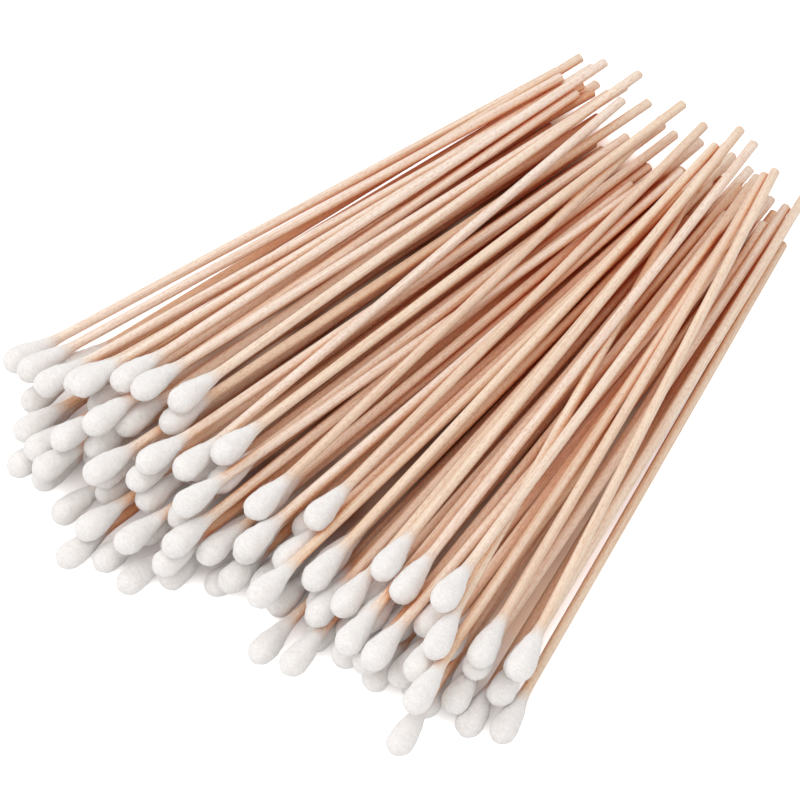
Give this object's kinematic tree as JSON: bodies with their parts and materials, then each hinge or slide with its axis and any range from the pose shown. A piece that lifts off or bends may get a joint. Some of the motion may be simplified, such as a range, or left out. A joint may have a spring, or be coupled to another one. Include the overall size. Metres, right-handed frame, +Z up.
{
  "type": "heap of wooden cotton swabs",
  "caption": "Loose fanned heap of long single-ended cotton swabs: straight birch sticks, each with one wound teardrop cotton tip.",
  "frame": {"origin": "middle of the floor area that the heap covers", "axes": "+Z up, +Y from the cotton tips towards the bare ends of the sticks, +X across the fan"},
  "size_m": [0.1482, 0.1833, 0.0299],
  "materials": {
    "birch": "plain sanded birch, matt",
    "cotton": "wound cotton fibre, soft and matt"
  },
  "bodies": {
    "root": {"left_lone_sticks": "birch", "left_lone_tips": "cotton", "right_lone_sticks": "birch", "right_lone_tips": "cotton", "left_row_1_sticks": "birch", "left_row_1_tips": "cotton", "right_row_1_sticks": "birch", "right_row_1_tips": "cotton", "left_row_2_sticks": "birch", "left_row_2_tips": "cotton", "right_row_2_sticks": "birch", "right_row_2_tips": "cotton", "left_row_3_sticks": "birch", "left_row_3_tips": "cotton", "right_row_3_sticks": "birch", "right_row_3_tips": "cotton", "left_row_4_sticks": "birch", "left_row_4_tips": "cotton", "right_row_4_sticks": "birch", "right_row_4_tips": "cotton", "left_row_5_sticks": "birch", "left_row_5_tips": "cotton", "right_row_5_sticks": "birch", "right_row_5_tips": "cotton"}
  },
  "joints": []
}
